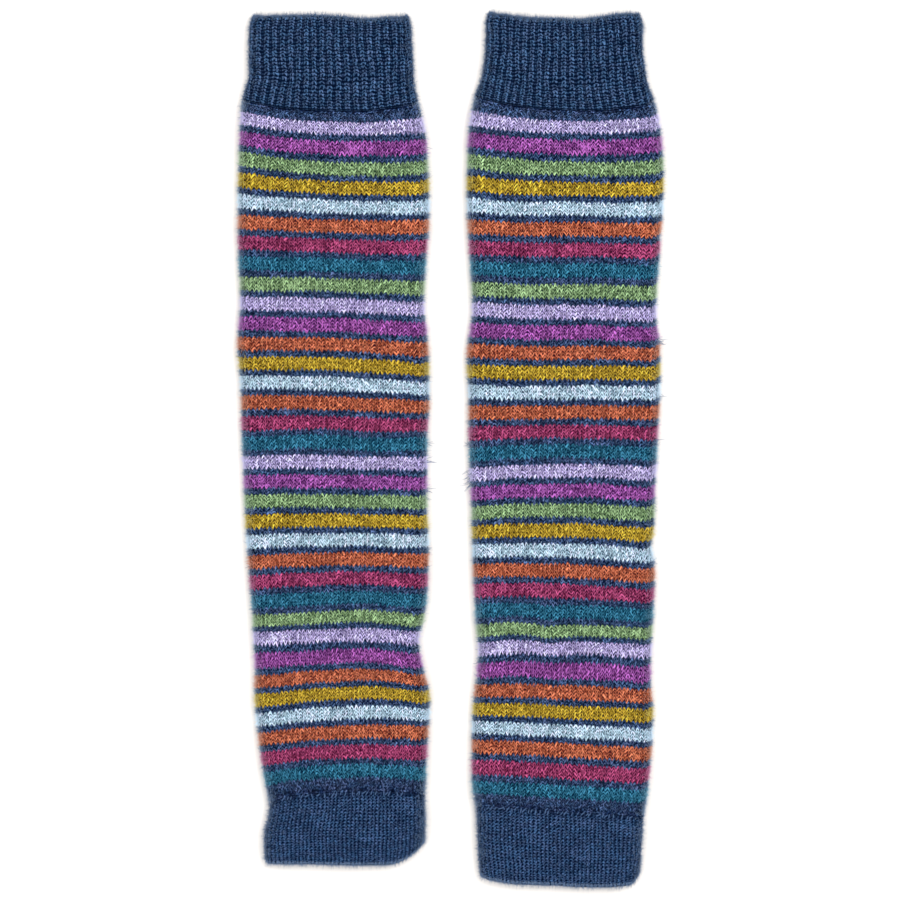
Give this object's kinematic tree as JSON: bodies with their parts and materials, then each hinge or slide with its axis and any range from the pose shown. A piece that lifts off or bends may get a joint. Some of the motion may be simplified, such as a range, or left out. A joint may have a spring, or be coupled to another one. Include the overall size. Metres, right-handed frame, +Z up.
{
  "type": "pair of leg warmers",
  "caption": "Pair of knitted leg warmers laid flat side by side: ribbed navy top cuff, striped tubular leg and doubled navy hem, open at both ends.",
  "frame": {"origin": "middle of the pair's outline, on the surface that it lies on", "axes": "+X across the pair to the right as seen from above, +Y along the legs towards the ribbed top cuffs, +Z up from the surface"},
  "size_m": [0.2136, 0.437, 0.0073],
  "materials": {
    "rib_navy": "matt heathered navy yarn in a 1x1 rib, slightly fuzzy",
    "striped_leg": "matt plain knit, even stripes of eight colours of yarn on navy, slightly fuzzy",
    "hem_navy": "matt heathered navy yarn in plain knit, doubled over, slightly fuzzy"
  },
  "bodies": {
    "root": {"left_top_cuff": "rib_navy", "left_leg": "striped_leg", "left_bottom_cuff": "hem_navy", "right_top_cuff": "rib_navy", "right_leg": "striped_leg", "right_bottom_cuff": "hem_navy"}
  },
  "joints": []
}
